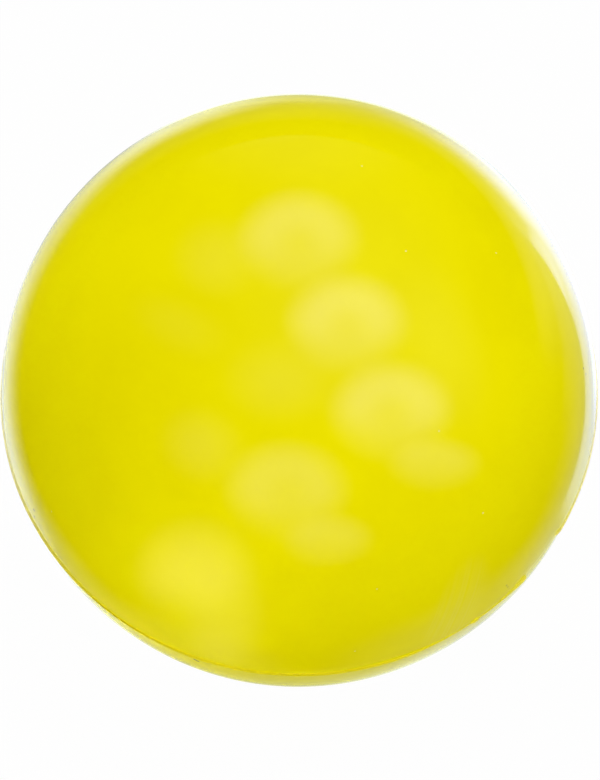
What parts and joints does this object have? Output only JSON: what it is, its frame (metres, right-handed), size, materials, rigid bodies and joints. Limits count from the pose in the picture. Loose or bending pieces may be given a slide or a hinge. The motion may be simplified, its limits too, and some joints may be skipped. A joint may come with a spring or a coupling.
{
  "type": "dog ball",
  "caption": "Smooth hollow rubber fetch ball for dogs, with a thin raised bonding seam round its equator.",
  "frame": {"origin": "centre of the ball", "axes": "+Z along the mould axis, square to the seam, which lies in the plane z = 0"},
  "size_m": [0.0656, 0.0656, 0.065],
  "materials": {
    "shell_rubber": "smooth, fairly glossy yellow rubber",
    "seam_rubber": "squeezed-out flash, the same yellow, a little duller"
  },
  "bodies": {
    "root": {"upper_half_shell": "shell_rubber", "lower_half_shell": "shell_rubber", "seam_bond_ring": "seam_rubber"}
  },
  "joints": []
}
